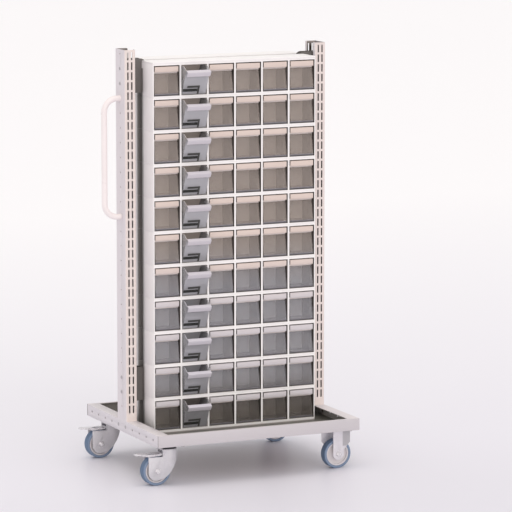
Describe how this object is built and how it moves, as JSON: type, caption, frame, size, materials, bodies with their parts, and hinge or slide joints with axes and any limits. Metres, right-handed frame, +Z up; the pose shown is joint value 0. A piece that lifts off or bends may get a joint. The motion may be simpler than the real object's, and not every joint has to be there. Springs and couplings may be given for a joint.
{
  "type": "double-sided tilt-bin trolley",
  "caption": "Wheeled trolley with two back-to-back banks of small tilt-out bins between slotted posts, a side push handle, braked swivel casters and fixed casters.",
  "frame": {"origin": "on the floor, under the middle of the whole trolley's box", "axes": "+Z up; -Y out of the front bank of bins; the push handle and the braked swivel casters are on the -X side"},
  "size_m": [0.8156, 0.63, 1.44],
  "materials": {
    "painted_steel": "satin light grey paint",
    "pan_steel": "dark grey satin",
    "plate_steel": "zinc plated",
    "bracket_steel": "satin grey paint",
    "handle_tube": "satin off-white paint",
    "bolt_steel": "zinc plated",
    "housing_plastic": "smooth white",
    "bin_plastic": "clear, slightly smoky, glossy",
    "fork_steel": "zinc plated, light",
    "axle_steel": "bright steel",
    "pedal_steel": "bright pressed steel",
    "hub_plastic": "smooth light grey",
    "tyre_rubber": "smooth blue-grey"
  },
  "bodies": {
    "trolley": {"base_frame": "painted_steel", "floor_pan": "pan_steel", "left_post": "painted_steel", "right_post": "painted_steel", "post_feet": "plate_steel", "bank_brackets": "bracket_steel", "push_handle": "handle_tube", "fasteners": "bolt_steel", "front_bank": "housing_plastic", "rear_bank": "housing_plastic", "swivel_plates": "plate_steel", "fixed_forks": "fork_steel", "fixed_axles": "axle_steel"},
    "front_swivel": {"front_swivel_fork": "fork_steel", "front_swivel_axle": "axle_steel"},
    "front_pedal": {"front_brake_pedal": "pedal_steel"},
    "front_left_wheel": {"front_left_wheel_hub": "hub_plastic", "front_left_tyre": "tyre_rubber"},
    "front_right_wheel": {"front_right_wheel_hub": "hub_plastic", "front_right_tyre": "tyre_rubber"},
    "rear_swivel": {"rear_swivel_fork": "fork_steel", "rear_swivel_axle": "axle_steel"},
    "rear_pedal": {"rear_brake_pedal": "pedal_steel"},
    "rear_left_wheel": {"rear_left_wheel_hub": "hub_plastic", "rear_left_tyre": "tyre_rubber"},
    "rear_right_wheel": {"rear_right_wheel_hub": "hub_plastic", "rear_right_tyre": "tyre_rubber"},
    "open_bin_row_1_body": {"open_bin_row_1": "bin_plastic"},
    "front_bins_row_1_body": {"front_bins_row_1": "bin_plastic"},
    "rear_bins_row_1_body": {"rear_bins_row_1": "bin_plastic"},
    "open_bin_row_2_body": {"open_bin_row_2": "bin_plastic"},
    "front_bins_row_2_body": {"front_bins_row_2": "bin_plastic"},
    "rear_bins_row_2_body": {"rear_bins_row_2": "bin_plastic"},
    "open_bin_row_3_body": {"open_bin_row_3": "bin_plastic"},
    "front_bins_row_3_body": {"front_bins_row_3": "bin_plastic"},
    "rear_bins_row_3_body": {"rear_bins_row_3": "bin_plastic"},
    "open_bin_row_4_body": {"open_bin_row_4": "bin_plastic"},
    "front_bins_row_4_body": {"front_bins_row_4": "bin_plastic"},
    "rear_bins_row_4_body": {"rear_bins_row_4": "bin_plastic"},
    "open_bin_row_5_body": {"open_bin_row_5": "bin_plastic"},
    "front_bins_row_5_body": {"front_bins_row_5": "bin_plastic"},
    "rear_bins_row_5_body": {"rear_bins_row_5": "bin_plastic"},
    "open_bin_row_6_body": {"open_bin_row_6": "bin_plastic"},
    "front_bins_row_6_body": {"front_bins_row_6": "bin_plastic"},
    "rear_bins_row_6_body": {"rear_bins_row_6": "bin_plastic"},
    "open_bin_row_7_body": {"open_bin_row_7": "bin_plastic"},
    "front_bins_row_7_body": {"front_bins_row_7": "bin_plastic"},
    "rear_bins_row_7_body": {"rear_bins_row_7": "bin_plastic"},
    "open_bin_row_8_body": {"open_bin_row_8": "bin_plastic"},
    "front_bins_row_8_body": {"front_bins_row_8": "bin_plastic"},
    "rear_bins_row_8_body": {"rear_bins_row_8": "bin_plastic"},
    "open_bin_row_9_body": {"open_bin_row_9": "bin_plastic"},
    "front_bins_row_9_body": {"front_bins_row_9": "bin_plastic"},
    "rear_bins_row_9_body": {"rear_bins_row_9": "bin_plastic"},
    "open_bin_row_10_body": {"open_bin_row_10": "bin_plastic"},
    "front_bins_row_10_body": {"front_bins_row_10": "bin_plastic"},
    "rear_bins_row_10_body": {"rear_bins_row_10": "bin_plastic"},
    "open_bin_row_11_body": {"open_bin_row_11": "bin_plastic"},
    "front_bins_row_11_body": {"front_bins_row_11": "bin_plastic"},
    "rear_bins_row_11_body": {"rear_bins_row_11": "bin_plastic"}
  },
  "joints": [
    {"name": "front_swivel_turn", "type": "hinge", "parent": "trolley", "child": "front_swivel", "pos_m": [-0.27475, -0.248, 0.12], "axis": [0, 0, 1], "continuous": true},
    {"name": "front_pedal_press", "type": "hinge", "parent": "front_swivel", "child": "front_pedal", "pos_m": [-0.30175, -0.248, 0.1045], "axis": [0, -1, 0], "range_deg": [0, 7]},
    {"name": "front_left_wheel_roll", "type": "hinge", "parent": "front_swivel", "child": "front_left_wheel", "pos_m": [-0.32275, -0.248, 0.05], "axis": [0, 1, 0], "continuous": true},
    {"name": "front_right_wheel_roll", "type": "hinge", "parent": "trolley", "child": "front_right_wheel", "pos_m": [0.34825, -0.248, 0.05], "axis": [0, 1, 0], "continuous": true},
    {"name": "rear_swivel_turn", "type": "hinge", "parent": "trolley", "child": "rear_swivel", "pos_m": [-0.27475, 0.248, 0.12], "axis": [0, 0, 1], "continuous": true},
    {"name": "rear_pedal_press", "type": "hinge", "parent": "rear_swivel", "child": "rear_pedal", "pos_m": [-0.30175, 0.248, 0.1045], "axis": [0, -1, 0], "range_deg": [0, 7]},
    {"name": "rear_left_wheel_roll", "type": "hinge", "parent": "rear_swivel", "child": "rear_left_wheel", "pos_m": [-0.32275, 0.248, 0.05], "axis": [0, 1, 0], "continuous": true},
    {"name": "rear_right_wheel_roll", "type": "hinge", "parent": "trolley", "child": "rear_right_wheel", "pos_m": [0.34825, 0.248, 0.05], "axis": [0, 1, 0], "continuous": true},
    {"name": "open_bin_row_1_tilt", "type": "hinge", "parent": "trolley", "child": "open_bin_row_1_body", "pos_m": [-0.11725, -0.1022, 1.298], "axis": [1, 0, 0], "range_deg": [-33, 0]},
    {"name": "front_bins_row_1_tilt", "type": "hinge", "parent": "trolley", "child": "front_bins_row_1_body", "pos_m": [0.03275, -0.1022, 1.298], "axis": [1, 0, 0], "range_deg": [0, 33]},
    {"name": "rear_bins_row_1_tilt", "type": "hinge", "parent": "trolley", "child": "rear_bins_row_1_body", "pos_m": [0.03275, 0.1022, 1.298], "axis": [-1, 0, 0], "range_deg": [0, 33]},
    {"name": "open_bin_row_2_tilt", "type": "hinge", "parent": "trolley", "child": "open_bin_row_2_body", "pos_m": [-0.11725, -0.1022, 1.1845], "axis": [1, 0, 0], "range_deg": [-33, 0]},
    {"name": "front_bins_row_2_tilt", "type": "hinge", "parent": "trolley", "child": "front_bins_row_2_body", "pos_m": [0.03275, -0.1022, 1.1845], "axis": [1, 0, 0], "range_deg": [0, 33]},
    {"name": "rear_bins_row_2_tilt", "type": "hinge", "parent": "trolley", "child": "rear_bins_row_2_body", "pos_m": [0.03275, 0.1022, 1.1845], "axis": [-1, 0, 0], "range_deg": [0, 33]},
    {"name": "open_bin_row_3_tilt", "type": "hinge", "parent": "trolley", "child": "open_bin_row_3_body", "pos_m": [-0.11725, -0.1022, 1.071], "axis": [1, 0, 0], "range_deg": [-33, 0]},
    {"name": "front_bins_row_3_tilt", "type": "hinge", "parent": "trolley", "child": "front_bins_row_3_body", "pos_m": [0.03275, -0.1022, 1.071], "axis": [1, 0, 0], "range_deg": [0, 33]},
    {"name": "rear_bins_row_3_tilt", "type": "hinge", "parent": "trolley", "child": "rear_bins_row_3_body", "pos_m": [0.03275, 0.1022, 1.071], "axis": [-1, 0, 0], "range_deg": [0, 33]},
    {"name": "open_bin_row_4_tilt", "type": "hinge", "parent": "trolley", "child": "open_bin_row_4_body", "pos_m": [-0.11725, -0.1022, 0.9575], "axis": [1, 0, 0], "range_deg": [-33, 0]},
    {"name": "front_bins_row_4_tilt", "type": "hinge", "parent": "trolley", "child": "front_bins_row_4_body", "pos_m": [0.03275, -0.1022, 0.9575], "axis": [1, 0, 0], "range_deg": [0, 33]},
    {"name": "rear_bins_row_4_tilt", "type": "hinge", "parent": "trolley", "child": "rear_bins_row_4_body", "pos_m": [0.03275, 0.1022, 0.9575], "axis": [-1, 0, 0], "range_deg": [0, 33]},
    {"name": "open_bin_row_5_tilt", "type": "hinge", "parent": "trolley", "child": "open_bin_row_5_body", "pos_m": [-0.11725, -0.1022, 0.844], "axis": [1, 0, 0], "range_deg": [-33, 0]},
    {"name": "front_bins_row_5_tilt", "type": "hinge", "parent": "trolley", "child": "front_bins_row_5_body", "pos_m": [0.03275, -0.1022, 0.844], "axis": [1, 0, 0], "range_deg": [0, 33]},
    {"name": "rear_bins_row_5_tilt", "type": "hinge", "parent": "trolley", "child": "rear_bins_row_5_body", "pos_m": [0.03275, 0.1022, 0.844], "axis": [-1, 0, 0], "range_deg": [0, 33]},
    {"name": "open_bin_row_6_tilt", "type": "hinge", "parent": "trolley", "child": "open_bin_row_6_body", "pos_m": [-0.11725, -0.1022, 0.7305], "axis": [1, 0, 0], "range_deg": [-33, 0]},
    {"name": "front_bins_row_6_tilt", "type": "hinge", "parent": "trolley", "child": "front_bins_row_6_body", "pos_m": [0.03275, -0.1022, 0.7305], "axis": [1, 0, 0], "range_deg": [0, 33]},
    {"name": "rear_bins_row_6_tilt", "type": "hinge", "parent": "trolley", "child": "rear_bins_row_6_body", "pos_m": [0.03275, 0.1022, 0.7305], "axis": [-1, 0, 0], "range_deg": [0, 33]},
    {"name": "open_bin_row_7_tilt", "type": "hinge", "parent": "trolley", "child": "open_bin_row_7_body", "pos_m": [-0.11725, -0.1022, 0.617], "axis": [1, 0, 0], "range_deg": [-33, 0]},
    {"name": "front_bins_row_7_tilt", "type": "hinge", "parent": "trolley", "child": "front_bins_row_7_body", "pos_m": [0.03275, -0.1022, 0.617], "axis": [1, 0, 0], "range_deg": [0, 33]},
    {"name": "rear_bins_row_7_tilt", "type": "hinge", "parent": "trolley", "child": "rear_bins_row_7_body", "pos_m": [0.03275, 0.1022, 0.617], "axis": [-1, 0, 0], "range_deg": [0, 33]},
    {"name": "open_bin_row_8_tilt", "type": "hinge", "parent": "trolley", "child": "open_bin_row_8_body", "pos_m": [-0.11725, -0.1022, 0.5035], "axis": [1, 0, 0], "range_deg": [-33, 0]},
    {"name": "front_bins_row_8_tilt", "type": "hinge", "parent": "trolley", "child": "front_bins_row_8_body", "pos_m": [0.03275, -0.1022, 0.5035], "axis": [1, 0, 0], "range_deg": [0, 33]},
    {"name": "rear_bins_row_8_tilt", "type": "hinge", "parent": "trolley", "child": "rear_bins_row_8_body", "pos_m": [0.03275, 0.1022, 0.5035], "axis": [-1, 0, 0], "range_deg": [0, 33]},
    {"name": "open_bin_row_9_tilt", "type": "hinge", "parent": "trolley", "child": "open_bin_row_9_body", "pos_m": [-0.11725, -0.1022, 0.39], "axis": [1, 0, 0], "range_deg": [-33, 0]},
    {"name": "front_bins_row_9_tilt", "type": "hinge", "parent": "trolley", "child": "front_bins_row_9_body", "pos_m": [0.03275, -0.1022, 0.39], "axis": [1, 0, 0], "range_deg": [0, 33]},
    {"name": "rear_bins_row_9_tilt", "type": "hinge", "parent": "trolley", "child": "rear_bins_row_9_body", "pos_m": [0.03275, 0.1022, 0.39], "axis": [-1, 0, 0], "range_deg": [0, 33]},
    {"name": "open_bin_row_10_tilt", "type": "hinge", "parent": "trolley", "child": "open_bin_row_10_body", "pos_m": [-0.11725, -0.1022, 0.2765], "axis": [1, 0, 0], "range_deg": [-33, 0]},
    {"name": "front_bins_row_10_tilt", "type": "hinge", "parent": "trolley", "child": "front_bins_row_10_body", "pos_m": [0.03275, -0.1022, 0.2765], "axis": [1, 0, 0], "range_deg": [0, 33]},
    {"name": "rear_bins_row_10_tilt", "type": "hinge", "parent": "trolley", "child": "rear_bins_row_10_body", "pos_m": [0.03275, 0.1022, 0.2765], "axis": [-1, 0, 0], "range_deg": [0, 33]},
    {"name": "open_bin_row_11_tilt", "type": "hinge", "parent": "trolley", "child": "open_bin_row_11_body", "pos_m": [-0.11725, -0.1022, 0.163], "axis": [1, 0, 0], "range_deg": [-33, 0]},
    {"name": "front_bins_row_11_tilt", "type": "hinge", "parent": "trolley", "child": "front_bins_row_11_body", "pos_m": [0.03275, -0.1022, 0.163], "axis": [1, 0, 0], "range_deg": [0, 33]},
    {"name": "rear_bins_row_11_tilt", "type": "hinge", "parent": "trolley", "child": "rear_bins_row_11_body", "pos_m": [0.03275, 0.1022, 0.163], "axis": [-1, 0, 0], "range_deg": [0, 33]}
  ]
}
